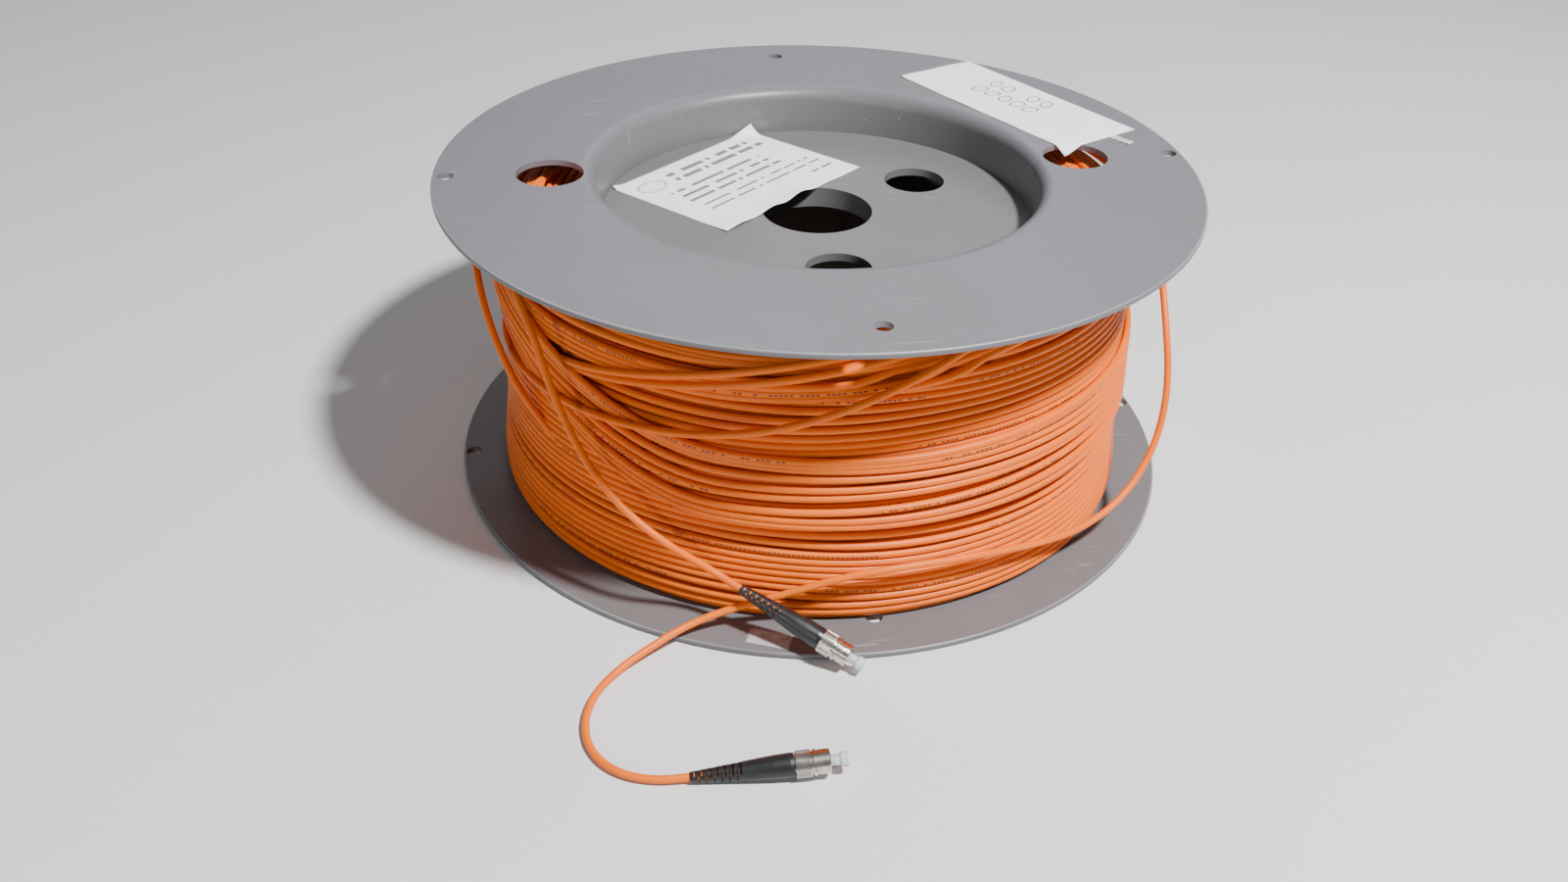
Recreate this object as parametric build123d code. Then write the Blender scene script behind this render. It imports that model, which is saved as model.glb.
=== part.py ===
"""A moulded cable reel wound with orange simplex fibre cable, with an FC plug on each of its two free ends.

Millimetres, +Z up. The origin is on the reel's axis at the underside of the lower flange, and +X runs through
the two round windows of each flange.
"""

from build123d import *
import os
from math import radians, tan

# ---- reel -------------------------------------------------------------------------------------------------
REEL_HEIGHT = 133.7
FLANGE_RADIUS = 160.0
FLANGE_THICKNESS = 2.4
FLANGE_EDGE_ROUND = 0.9
DISH_RADIUS = 93.1            # wall of the dish just under its rounded rim
DISH_FLOOR_RADIUS = 92.2
DISH_DEPTH = 20.7
DISH_RIM_ROUND = 6.5
DISH_WALL = 3.4
BORE_RADIUS = 23.75
COLLAR_WALL = 3.2
COLLAR_LENGTH = 9.0
DRIVE_HOLE_RADIUS = 13.5
DRIVE_CIRCLE_RADIUS = 56.3
WINDOW_RADIUS = 14.0
WINDOW_PLACE = 112.2
RIM_HOLE_RADIUS = 3.5
RIM_HOLE_PLACES = (154.4, 141.6)     # along X and along Y in the upper flange
FOOT_HOLE_PLACES = (155.5, 139.0)    # the same pairs in the lower flange
FOOT_TURN = 2.0               # degrees that the lower flange's windows and rim holes are turned
BARREL_INNER = 96.6
BARREL_OUTER = 98.6
BARREL_SEAM_WIDTH = 0.8
BARREL_SEAM_DEPTH = 0.5
BARREL_SEAM_ANGLE = 72.5

# ---- winding: radius at height, from the foot up to the shoulder ------------------------------------------
PACK_SIDE = [(140.5, 12), (138.6, 26), (137, 40), (136, 64), (134.5, 90), (132.5, 108)]
PACK_SHOULDER_RADIUS = 124.0
PACK_TOP = 121.0

# ---- labels -----------------------------------------------------------------------------------------------
PAPER = 0.3
PRINTED_LABEL = [(-40.7, -19.1), (26.8, 44.7), (-15.0, 89.5), (-85.5, 30.5)]
PAPER_TAG = [(108.9, 12.6), (149.1, 27.9), (93.5, 127.2), (56.4, 103.5)]
TAPE_SCRAP = [(133.5, 21.5), (140.5, 9.5), (144.0, 12.0), (138.0, 23.0)]
CLEAR_STICKER = [(-47.1, -148.0), (-44.9, -140.0), (-28.2, -150.2), (-32.1, -154.2)]
LABEL_HOLE_GAP = 1.5

# ---- cable and plugs --------------------------------------------------------------------------------------
CABLE_DIAMETER = 3.0
RUN_SHARE = 0.45              # share of the shorter run that each bend's tangent takes
JACKET_END = 29.0             # where the cable jacket stops inside the plug
BOOT_SLOTS = 13
BOOT_FIRST_SLOT = 1.7
BOOT_SLOT_PITCH = 1.32
BOOT_SLOT_WIDTH = 0.6
BOOT_SLOT_FLOOR = 1.05        # from the axis, so that each slot opens into the bore

# Each plug: the middle of its boot's tail face and the direction that its ferrule points in.
PLUGS = {
    "a": {"tail": Vector(-47.9, -139.3, 21.5), "aim": Vector(42.7, -28.6, -17.2)},
    "b": {"tail": Vector(-73.3, -213.8, 2.1), "aim": Vector(54.4, -1.45, 4.3)},
}

# Lead A comes up out of the winding, runs out under the top flange and hangs down in front.
LEAD_A = [
    (-101.5, 47.0, 119.0),
    (-116.0, 20.5, 124.0),
    (-126.5, -11.0, 125.0),
    (-129.5, -45.0, 125.2),
    (-127.0, -74.5, 123.5),
    (-120.3, -92.0, 112.3),
    (-115.0, -99.5, 92.0),
    (-106.5, -109.0, 70.5),
    (-94.5, -119.5, 52.8),
    (-77.3, -130.8, 40.3),
    (-59.5, -131.5, 26.2),
]

# Lead B rises off the winding, goes round behind under the top flange, comes down at the right,
# crosses the foot of the winding and drops off the lower flange into a loop.
LEAD_B = [
    (-112.0, -74.0, 46.0),
    (-126.5, -60.5, 60.0),
    (-136.0, -47.0, 77.0),
    (-142.5, -32.0, 95.0),
    (-145.5, -10.0, 109.5),
    (-144.5, 20.0, 118.5),
    (-134.0, 60.0, 122.0),
    (-108.5, 100.0, 123.0),
    (-68.0, 131.0, 122.0),
    (-18.0, 147.5, 121.0),
    (34.0, 144.5, 120.5),
    (82.0, 124.0, 119.0),
    (120.0, 88.5, 117.0),
    (143.0, 45.0, 114.5),
    (148.0, 3.0, 110.5),
    (143.0, -34.0, 103.0),
    (139.0, -60.5, 86.0),
    (139.5, -75.0, 61.0),
    (134.5, -84.0, 37.0),
    (118.5, -96.5, 19.8),
    (95.0, -110.0, 15.0),
    (70.5, -125.5, 22.0),
    (46.0, -136.5, 27.5),
    (18.0, -143.0, 30.0),
    (-8.5, -143.5, 27.3),
    (-32.2, -140.0, 17.2),
    (-53.2, -138.2, 10.6),
    (-69.5, -142.0, 7.2),
    (-83.0, -149.5, 4.6),
    (-95.5, -157.3, 1.9),
    (-105.0, -169.5, 1.6),
    (-109.0, -184.7, 1.6),
    (-106.3, -198.5, 1.6),
    (-98.3, -208.2, 1.6),
    (-86.5, -213.2, 1.6),
]


def turned(outline):
    """A solid of revolution about X from its (distance along, radius) outline."""
    return revolve(make_face(Polyline(*outline, close=True)), Axis.X)


def plate(outline, bottom, thickness=PAPER):
    """A thin flat piece with the given outline, lying at the given height."""
    return extrude(Pos(0, 0, bottom) * make_face(Polyline(*outline, close=True)), thickness)


def hole(radius, x, y):
    """A round cutter through a whole flange."""
    return Pos(x, y, 0) * Cylinder(radius, 4 * REEL_HEIGHT)


# ---- reel pieces ------------------------------------------------------------------------------------------
def flange(rim_hole_places, turned_by):
    """The upper flange, its outer face at z = 0: a flat ring, a dish and a collar round the bore."""
    floor_under = DISH_DEPTH + DISH_WALL
    rim = DISH_RADIUS + DISH_RIM_ROUND
    outline = [
        Line((rim, 0), (FLANGE_RADIUS, 0)),
        Line((FLANGE_RADIUS, 0), (FLANGE_RADIUS, -FLANGE_THICKNESS)),
        Line((FLANGE_RADIUS, -FLANGE_THICKNESS), (BARREL_INNER, -FLANGE_THICKNESS)),
        Line((BARREL_INNER, -FLANGE_THICKNESS), (DISH_FLOOR_RADIUS + DISH_WALL, -floor_under)),
        Line((DISH_FLOOR_RADIUS + DISH_WALL, -floor_under), (BORE_RADIUS + COLLAR_WALL, -floor_under)),
        Polyline(
            (BORE_RADIUS + COLLAR_WALL, -floor_under),
            (BORE_RADIUS + COLLAR_WALL, -DISH_DEPTH - COLLAR_LENGTH),
            (BORE_RADIUS, -DISH_DEPTH - COLLAR_LENGTH),
            (BORE_RADIUS, -DISH_DEPTH),
            (DISH_FLOOR_RADIUS, -DISH_DEPTH),
            (DISH_RADIUS, -DISH_RIM_ROUND),
        ),
        RadiusArc((DISH_RADIUS, -DISH_RIM_ROUND), (rim, 0), DISH_RIM_ROUND),
    ]
    body = revolve(Plane.XZ * make_face(Curve() + outline), Axis.Z)
    for turn in (30, 150, 270):
        body -= Rot(0, 0, turn) * hole(DRIVE_HOLE_RADIUS, DRIVE_CIRCLE_RADIUS, 0)
    for side in (-1, 1):
        place = Rot(0, 0, turned_by)
        body -= place * hole(WINDOW_RADIUS, side * WINDOW_PLACE, 0)
        body -= place * hole(RIM_HOLE_RADIUS, side * rim_hole_places[0], 0)
        body -= place * hole(RIM_HOLE_RADIUS, 0, side * rim_hole_places[1])
    outer_edges = body.edges().filter_by(GeomType.CIRCLE)
    outer_edges = outer_edges.filter_by(lambda edge: abs(edge.radius - FLANGE_RADIUS) < 0.01)
    return fillet(outer_edges, FLANGE_EDGE_ROUND)


def barrel():
    """The thin rolled tube that the cable is wound on, with the groove of its lap seam inside."""
    length = REEL_HEIGHT - 2 * FLANGE_THICKNESS
    middle = Pos(0, 0, REEL_HEIGHT / 2)
    tube = middle * (Cylinder(BARREL_OUTER, length) - Cylinder(BARREL_INNER, length))
    seam = Box(2 * BARREL_SEAM_DEPTH, BARREL_SEAM_WIDTH, length)
    return tube - Rot(0, 0, BARREL_SEAM_ANGLE) * Pos(BARREL_INNER, 0, REEL_HEIGHT / 2) * seam


def cable_pack():
    """The outer shape of all the wound cable: wider at the foot, with a sloping shoulder at the top."""
    outline = [
        (BARREL_OUTER, FLANGE_THICKNESS),
        (PACK_SIDE[0][0], FLANGE_THICKNESS),
        *PACK_SIDE,
        (PACK_SHOULDER_RADIUS, PACK_TOP - 2),
        (PACK_SHOULDER_RADIUS - 6, PACK_TOP),
        (BARREL_OUTER, PACK_TOP),
    ]
    return revolve(Plane.XZ * make_face(Polyline(*outline, close=True)), Axis.Z)


def labels():
    """The printed label in the dish, the paper tag and tape on the top flange, the sticker on the foot."""
    dish_floor = REEL_HEIGHT - DISH_DEPTH
    dish = Cylinder(DISH_FLOOR_RADIUS - LABEL_HOLE_GAP, 2 * REEL_HEIGHT)
    printed = plate(PRINTED_LABEL, dish_floor) & dish
    printed -= hole(BORE_RADIUS + LABEL_HOLE_GAP, 0, 0)
    printed -= Rot(0, 0, 150) * hole(DRIVE_HOLE_RADIUS + LABEL_HOLE_GAP, DRIVE_CIRCLE_RADIUS, 0)
    tag = plate(PAPER_TAG, REEL_HEIGHT) - hole(WINDOW_RADIUS + LABEL_HOLE_GAP, WINDOW_PLACE, 0)
    return {
        "printed_label": printed,
        "paper_tag": tag,
        "tape_scrap": plate(TAPE_SCRAP, REEL_HEIGHT),
        "clear_sticker": plate(CLEAR_STICKER, FLANGE_THICKNESS),
    }


# ---- plug pieces, each along +X with the boot's tail face at x = 0 -----------------------------------------
def boot():
    """The rubber strain relief: a slotted tapering tail that runs into a smooth, fatter front."""
    outer = [(0, 1.9), (18.8, 3.4), (25, 3.92), (29, 4.2), (34.6, 4.35), (36, 4.2)]
    inner = [(36, 3.05), (32, 3.05), (31.8, 2.65), (22.6, 2.65), (22.4, 1.55), (0, 1.55)]
    body = turned(outer + inner)
    for index in range(BOOT_SLOTS):
        along = BOOT_FIRST_SLOT + BOOT_SLOT_PITCH * index
        slot = Pos(along, 0, BOOT_SLOT_FLOOR + 2 + 0.02 * along) * Box(BOOT_SLOT_WIDTH, 9, 4)
        body -= Rot(90 * (index % 2), 0, 0) * slot
        body -= Rot(90 * (index % 2) + 180, 0, 0) * slot
    return body


def crimp_sleeve():
    """The metal sleeve crimped over the jacket's end and the rear body's barrel."""
    return turned([(23, 1.5), (28.9, 1.5), (29, 1.8), (34.4, 1.8), (34.4, 2.5), (28.8, 2.5), (28.4, 2.1), (23, 2.1)])


def rear_body():
    """The stop that closes the front body and carries the spring."""
    outer = [(29, 1.8), (34.4, 1.8), (34.4, 3.0), (36.6, 3.0), (36.6, 2.6), (40.4, 2.6)]
    inner = [(40.4, 2.2), (37.6, 2.2), (37.6, 1.55), (36.2, 1.55), (36.2, 0.8), (29, 0.8)]
    return turned(outer + inner)


def front_body():
    """The sleeve round the ferrule, with the collar that stops the nut and the key on its nose."""
    outer = [(36.6, 3.2), (40.5, 3.2), (40.5, 3.75), (42, 3.75), (42, 3.0), (47.4, 3.0), (47.8, 2.7)]
    inner = [(47.8, 2.35), (44, 2.35), (44, 2.6), (36.6, 2.6)]
    key = Pos(45.6, 0, 3.2) * Box(2.8, 2.1, 0.56)
    return turned(outer + inner) + key


def ferrule_spring():
    """The compression spring behind the ferrule, its end coils on the stop and on the holder."""
    radius, wire, start, end = 1.85, 0.22, 37.6, 42.0
    rise = end - start - 2 * wire
    path = Helix(pitch=rise / 5, height=rise, radius=radius)
    section = Plane(origin=path @ 0, z_dir=path % 0) * Circle(wire)
    coil = sweep(section, path=path, is_frenet=True)
    return Pos(start + wire, 0, 0) * Rot(0, 90, 0) * coil


def ferrule_holder():
    """The flanged metal tube that grips the ferrule and slides inside the front body."""
    outer = [(38.4, 1.45), (42.0, 1.45), (42.0, 2.5), (43.9, 2.5), (43.9, 1.7), (44.8, 1.7)]
    inner = [(44.8, 1.25), (40, 1.25), (40, 0.5), (38.4, 0.5)]
    return turned(outer + inner)


def ferrule():
    """The ceramic ferrule with its chamfered, slightly domed tip."""
    return turned([(40, 0), (40, 1.25), (48.9, 1.25), (49.4, 0.8), (49.5, 0.0)])


def retaining_ring():
    """The split ring in the back of the nut, which meets the collar when the nut is drawn forward."""
    ring = turned([(37.8, 3.25), (38.4, 3.25), (38.4, 3.85), (37.8, 3.85)])
    return ring - Pos(38.1, 0, -3.5) * Box(2, 0.9, 2)


def coupling_nut():
    """The nickel-plated nut: a knurled grip, a notched ring and a smooth threaded nose."""
    outer = [(36.3, 3.9), (36.3, 4.75), (41.6, 4.75), (41.6, 4.1), (42.4, 4.1), (42.4, 4.65), (43.5, 4.65)]
    outer += [(43.5, 4.15), (44.1, 4.15), (44.1, 4.35), (47.9, 4.35), (48.3, 4.1), (48.3, 3.75)]
    thread = []
    for index in range(4):
        start = 48.0 - 0.75 * index
        thread += [(start, 3.6), (start - 0.37, 3.9)]
    inner = thread + [(45.0, 3.6), (43.2, 3.6), (43.0, 3.9), (37.72, 3.9), (37.72, 3.3), (36.7, 3.3)]
    body = turned(outer + inner)
    tooth = Pos(38.95, 0, 4.85) * Rot(45, 0, 0) * Box(4.7, 0.42, 0.42)
    for index in range(40):
        body -= Rot(9 * index, 0, 0) * tooth
    notch = Pos(42.95, 0, 4.75) * Box(1.1, 0.7, 0.7)
    for index in range(6):
        body -= Rot(60 * index + 20, 0, 0) * notch
    return body


def dust_cap():
    """The soft translucent cap pushed over the ferrule, with a flared closed end."""
    outer = [(45.0, 1.27), (45.0, 1.9), (51.4, 1.9), (52.0, 2.6), (54.3, 2.75), (54.7, 2.4), (54.7, 0)]
    return turned(outer + [(50.0, 0), (50.0, 1.27)])


PLUG_PIECES = {
    "boot": boot,
    "crimp_sleeve": crimp_sleeve,
    "rear_body": rear_body,
    "front_body": front_body,
    "ferrule_spring": ferrule_spring,
    "ferrule_holder": ferrule_holder,
    "ferrule": ferrule,
    "retaining_ring": retaining_ring,
    "coupling_nut": coupling_nut,
    "dust_cap": dust_cap,
}


def plug_plane(plug):
    """The plane whose x axis runs along the plug, with its key upwards."""
    aim = plug["aim"].normalized()
    side = Vector(0, 0, 1).cross(aim)
    return Plane(origin=plug["tail"], x_dir=aim, z_dir=aim.cross(side))


# ---- leads ------------------------------------------------------------------------------------------------
def bend_radii(points):
    """The largest bend that each corner's two runs leave room for."""
    radii = []
    for before, corner, after in zip(points, points[1:], points[2:]):
        run_in = corner - before
        run_out = after - corner
        half_turn = radians(run_in.get_angle(run_out) / 2)
        radii.append(RUN_SHARE * min(run_in.length, run_out.length) / tan(half_turn))
    return radii


def cable(points, label):
    """A round cable through the points: straight runs joined by tangent arcs."""
    points = [Vector(*point) for point in points]
    radii = bend_radii(points)
    path = FilletPolyline(*points, radius=radii)
    section = Plane(origin=path @ 0, z_dir=path % 0) * Circle(CABLE_DIAMETER / 2)
    tube = sweep(section, path=path)
    expected = section.area * path.length
    print(label, "length", round(path.length, 1), "radii", [round(radius, 1) for radius in radii])
    print(label, "volume", round(tube.volume, 1), "section times length", round(expected, 1))
    return tube


def lead(points, plug, label):
    """A free end: its cable up to the boot's tail, and on inside the boot to the jacket's end."""
    inside = Cylinder(CABLE_DIAMETER / 2, JACKET_END, align=(Align.CENTER, Align.CENTER, Align.MIN))
    inside = plug_plane(plug).location * Rot(0, 90, 0) * inside
    return cable(points + [tuple(plug["tail"])], label) + inside


# ---- all nodes --------------------------------------------------------------------------------------------
def all_nodes():
    top = Pos(0, 0, REEL_HEIGHT) * flange(RIM_HOLE_PLACES, 0)
    bottom = Rot(0, 180, 0) * flange(FOOT_HOLE_PLACES, -FOOT_TURN)
    nodes = {
        "top_flange": top,
        "bottom_flange": bottom,
        "barrel": barrel(),
        "cable_pack": cable_pack(),
        "lead_a": lead(LEAD_A, PLUGS["a"], "lead_a"),
        "lead_b": lead(LEAD_B, PLUGS["b"], "lead_b"),
    }
    nodes.update(labels())
    for letter, plug in PLUGS.items():
        place = plug_plane(plug).location
        for name, make in PLUG_PIECES.items():
            nodes[name + "_" + letter] = place * make()
    return nodes


os.makedirs("parts", exist_ok=True)
for name, shape in all_nodes().items():
    export_step(shape, "parts/" + name + ".step")
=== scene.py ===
"""A cable reel wound with orange fibre cable, its two free ends carrying round threaded plugs.

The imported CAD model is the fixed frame. This add-on gives its parts their finishes and builds the
wound cable, the two loose leads, the labels and a plain studio round them.
"""

import math

import bpy
import numpy as np
from bpy.props import FloatProperty, FloatVectorProperty, IntProperty, PointerProperty
from mathutils import Matrix, Vector


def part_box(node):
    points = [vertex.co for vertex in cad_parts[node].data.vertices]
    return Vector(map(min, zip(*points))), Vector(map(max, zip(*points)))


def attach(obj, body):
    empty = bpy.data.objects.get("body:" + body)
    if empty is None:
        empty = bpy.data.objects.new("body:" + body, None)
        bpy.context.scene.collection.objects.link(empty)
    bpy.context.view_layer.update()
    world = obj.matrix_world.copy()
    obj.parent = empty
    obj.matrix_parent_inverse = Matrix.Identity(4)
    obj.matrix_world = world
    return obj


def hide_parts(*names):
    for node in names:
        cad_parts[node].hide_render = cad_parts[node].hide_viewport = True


bl_info = {
    "name": "Wound cable reel",
    "version": (1, 0, 0),
    "blender": (4, 5, 0),
    "location": "3D View > Sidebar > Cable Reel",
    "description": "Builds a reel of fibre cable with two plugged ends around its CAD frame",
    "category": "Object",
}

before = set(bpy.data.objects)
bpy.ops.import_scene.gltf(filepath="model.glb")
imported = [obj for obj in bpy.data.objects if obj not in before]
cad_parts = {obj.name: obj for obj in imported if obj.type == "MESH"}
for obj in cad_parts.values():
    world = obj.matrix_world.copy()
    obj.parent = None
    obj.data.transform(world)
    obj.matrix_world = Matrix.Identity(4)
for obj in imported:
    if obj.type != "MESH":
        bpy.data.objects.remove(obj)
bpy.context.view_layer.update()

MM = 0.001
REEL = "reel"
PLUGS = ("a", "b")
REEL_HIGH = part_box("top_flange")[1]
REEL_RADIUS = REEL_HIGH.x
REEL_HEIGHT = REEL_HIGH.z
FLANGE_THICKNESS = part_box("cable_pack")[0].z
DISH_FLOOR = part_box("printed_label")[0].z
DISH_FLOOR_RADIUS = 92.2 * MM
WINDOW_CENTRE = 112.2         # millimetres from the axis to the middle of the flange's round window
WINDOW_RADIUS = 13.3          # millimetres, just inside its edge
BARREL_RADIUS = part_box("barrel")[1].x


# ---- settings ----------------------------------------------------------------
class WindingSettings(bpy.types.PropertyGroup):
    """Sizes and colours of the cable."""

    diameter: FloatProperty(
        name="Cable diameter", description="Outside of the jacket", default=3 * MM, unit="LENGTH"
    )
    swept_turns: IntProperty(
        name="Swept turns", description="Turns that cross over the outer layer", default=9, min=0
    )
    crown_turns: IntProperty(
        name="Crown turns", description="Turns that lie on the shoulder at the right", default=13, min=0
    )
    slack: FloatProperty(
        name="Slack", description="Share of the outer layer that is gap", default=0.07, subtype="FACTOR"
    )
    seed: IntProperty(name="Lay", description="Chooses how the turns wander", default=11)
    jacket: FloatVectorProperty(
        name="Jacket", description="Orange of the jacket", default=(0.82, 0.152, 0.0), subtype="COLOR"
    )
    print_colour: FloatVectorProperty(
        name="Jacket marks",
        description="Ink of the plain dashes",
        default=(0.05, 0.025, 0.015),
        subtype="COLOR",
    )


class ReelSettings(bpy.types.PropertyGroup):
    """Colours of the moulded reel."""

    plastic: FloatVectorProperty(
        name="Plastic", description="Grey of flanges", default=(0.158, 0.153, 0.172), subtype="COLOR"
    )
    # A darker, warmer grey for the dish and the foot.
    darker_tone: FloatVectorProperty(
        name="Dish and foot grey",
        description="Warmer grey of the dish and foot",
        default=(0.125, 0.114, 0.106),
        subtype="COLOR",
    )
    # Painted highlight: this pale grey is painted along the flanges' rounded rims; it also colours the real
    # scratches.
    rim_highlight_and_scratches: FloatVectorProperty(
        name="Rim highlight and scratches", description="Pale grey of rims", default=(0.50, 0.50, 0.52), subtype="COLOR"
    )
    # Painted shade: this dark grey is painted on the flanges' outer sides.
    side: FloatVectorProperty(
        name="Edge", description="Grey of flange sides", default=(0.09, 0.088, 0.092), subtype="COLOR"
    )
    # Painted light: this grey is set paler than the board to stand in for light inside the closed reel.
    board: FloatVectorProperty(
        name="Barrel", description="Brown-grey of the tube", default=(0.42, 0.36, 0.32), subtype="COLOR"
    )


class LabelSettings(bpy.types.PropertyGroup):
    """Sizes and colours of the papers."""

    paper: FloatVectorProperty(
        name="Paper", description="White of the papers", default=(0.92, 0.92, 0.95), subtype="COLOR"
    )
    ink: FloatVectorProperty(
        name="Ink", description="Grey of the printed rules", default=(0.05, 0.05, 0.07), subtype="COLOR"
    )
    thickness: FloatProperty(
        name="Thickness", description="Thickness of the paper", default=0.2 * MM, unit="LENGTH"
    )


class PlugSettings(bpy.types.PropertyGroup):
    """Colours of the plugs."""

    rubber: FloatVectorProperty(
        name="Boot", description="Black of the boots", default=(0.012, 0.012, 0.014), subtype="COLOR"
    )
    nickel: FloatVectorProperty(
        name="Nickel", description="Plated brass", default=(0.66, 0.62, 0.57), subtype="COLOR"
    )
    cap: FloatVectorProperty(
        name="Cap", description="Milky white of the caps", default=(0.80, 0.84, 0.88), subtype="COLOR"
    )


class StageSettings(bpy.types.PropertyGroup):
    """The studio."""

    floor: FloatVectorProperty(
        name="Floor", description="Colour of the floor", default=(0.70, 0.70, 0.71), subtype="COLOR"
    )
    lens: FloatProperty(name="Lens", description="Focal length in millimetres", default=31.77)
    key: FloatProperty(name="Key light", description="Watts of the light at the right", default=60)
    side: FloatProperty(name="Side light", description="Watts of the light at the left", default=4.5)
    back: FloatProperty(name="Back light", description="Watts of the light behind", default=4)


# ---- node building -----------------------------------------------------------
class Graph:
    """Adds nodes to a tree and links or sets their inputs by name or number."""

    def __init__(self, tree):
        self.tree = tree

    def add(self, kind, options=None, **inputs):
        node = self.tree.nodes.new("ShaderNode" + kind)
        for name, value in (options or {}).items():
            setattr(node, name, value)
        for name, value in inputs.items():
            key = int(name[1:]) if name[0] == "_" else name.replace("_", " ")
            self.feed(node.inputs[key], value)
        return node

    def feed(self, socket, value):
        if isinstance(value, bpy.types.NodeSocket):
            self.tree.links.new(value, socket)
        elif hasattr(value, "__len__") and len(value) == 3 and socket.type == "RGBA":
            socket.default_value = (*value, 1)
        else:
            socket.default_value = value

    def math(self, operation, first, second=0.0, third=0.0):
        return self.add("Math", {"operation": operation}, _0=first, _1=second, _2=third).outputs[0]

    def step(self, value, low, high):
        """0 below low, 1 above high, smooth between."""
        node = self.add(
            "MapRange", {"interpolation_type": "SMOOTHSTEP"}, Value=value, From_Min=low, From_Max=high
        )
        return node.outputs[0]

    def mix(self, mask, first, second):
        node = self.add("Mix", {"data_type": "RGBA"})
        self.feed(node.inputs[0], mask)
        self.feed(node.inputs[6], first)
        self.feed(node.inputs[7], second)
        return node.outputs[2]

    def noise(self, vector, scale, detail=2.0, roughness=0.5):
        node = self.add("TexNoise", Vector=vector, Scale=scale, Detail=detail, Roughness=roughness)
        return node.outputs[0]

    def vector(self, x, y=0.0, z=0.0):
        return self.add("CombineXYZ", X=x, Y=y, Z=z).outputs[0]

    def place(self):
        return self.add("TexCoord").outputs["Object"]

    def times(self, first, second):
        return self.math("MULTIPLY", first, second)

    def minus(self, first, second):
        return self.math("SUBTRACT", first, second)

    def scaled(self, value, factor, offset):
        return self.math("MULTIPLY_ADD", value, factor, offset)

    def below(self, value, limit):
        return self.math("LESS_THAN", value, limit)

    def above(self, value, limit):
        return self.math("GREATER_THAN", value, limit)

    def near(self, value, middle, reach):
        """1 where the value is within reach of the middle."""
        return self.below(self.math("ABSOLUTE", self.minus(value, middle)), reach)

    def length(self, vector):
        return self.add("VectorMath", {"operation": "LENGTH"}, _0=vector).outputs["Value"]

    def chance(self, number):
        return self.add("TexWhiteNoise", {"noise_dimensions": "1D"}, W=number).outputs["Value"]

    def spread(self, value, low, high):
        return self.add("MapRange", Value=value, To_Min=low, To_Max=high).outputs[0]


def new_group(name, inputs, outputs):
    """An empty node group with float or colour sockets: its graph, its inputs and its outputs."""
    group = bpy.data.node_groups.new(name, "ShaderNodeTree")
    for label, value in inputs.items():
        kind = "NodeSocketColor" if hasattr(value, "__len__") else "NodeSocketFloat"
        socket = group.interface.new_socket(label, in_out="INPUT", socket_type=kind)
        socket.default_value = (*value, 1) if hasattr(value, "__len__") else value
    for label, kind in outputs.items():
        group.interface.new_socket(label, in_out="OUTPUT", socket_type="NodeSocket" + kind)
    graph = Graph(group)
    source = group.nodes.new("NodeGroupInput").outputs
    target = group.nodes.new("NodeGroupOutput").inputs
    return graph, source, target


def use_group(graph, name, **inputs):
    node = graph.tree.nodes.new("ShaderNodeGroup")
    node.node_tree = bpy.data.node_groups[name]
    for label, value in inputs.items():
        graph.feed(node.inputs[label.replace("_", " ")], value)
    return node.outputs


def reel_places():
    """How far a point is from the reel's axis."""
    graph, _, target = new_group("Reel places", {}, {"Radius": "Float"})
    axes = graph.add("SeparateXYZ", Vector=graph.place()).outputs
    graph.feed(target["Radius"], graph.length(graph.vector(axes[0], axes[1])))


def moulded_grain():
    """Fine texture of a moulding: a height for its bump and a slow mottle."""
    graph, source, target = new_group(
        "Moulded grain", {"Grain": 1400.0, "Cloud": 14.0}, {"Height": "Float", "Mottle": "Float"}
    )
    place = graph.place()
    fine = graph.noise(place, source["Grain"], 3, 0.6)
    cloud = graph.noise(place, source["Cloud"], 4, 0.55)
    graph.feed(target["Height"], fine)
    graph.feed(target["Mottle"], graph.step(cloud, 0.3, 0.72))


def handling_marks():
    """Thin scratches and dust specks, as two masks."""
    graph, source, target = new_group(
        "Handling marks", {"Size": 1.0, "Amount": 0.5}, {"Scratches": "Float", "Specks": "Float"}
    )
    place = graph.place()
    masks = []
    for turn, stretch in ((0.5, 240.0), (2.1, 300.0)):
        moved = graph.add("Mapping", Vector=place, Rotation=(0, 0, turn), Scale=(26, stretch, 60))
        line = graph.noise(moved.outputs[0], source["Size"], 1, 0.5)
        masks.append(graph.step(line, 0.68, 0.76))
    lines = graph.math("MAXIMUM", masks[0], masks[1])
    patch = graph.step(graph.noise(place, 22.0, 2, 0.5), 0.5, 0.68)
    lines = graph.times(graph.times(lines, patch), source["Amount"])
    cells = graph.add("TexVoronoi", {"feature": "F1"}, Vector=place, Scale=420.0).outputs["Distance"]
    dust = graph.step(graph.noise(place, 300.0, 2, 0.6), 0.62, 0.7)
    specks = graph.times(graph.minus(1.0, graph.step(cells, 0.12, 0.26)), dust)
    graph.feed(target["Scratches"], lines)
    graph.feed(target["Specks"], graph.times(specks, source["Amount"]))


MARK_ROWS = 1.37              # rows of dashes in a metre of jacket
MARK_SHARE = 0.11             # how much of that length a row takes
MARK_CELLS = 540.0            # dashes in a metre of a row


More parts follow.
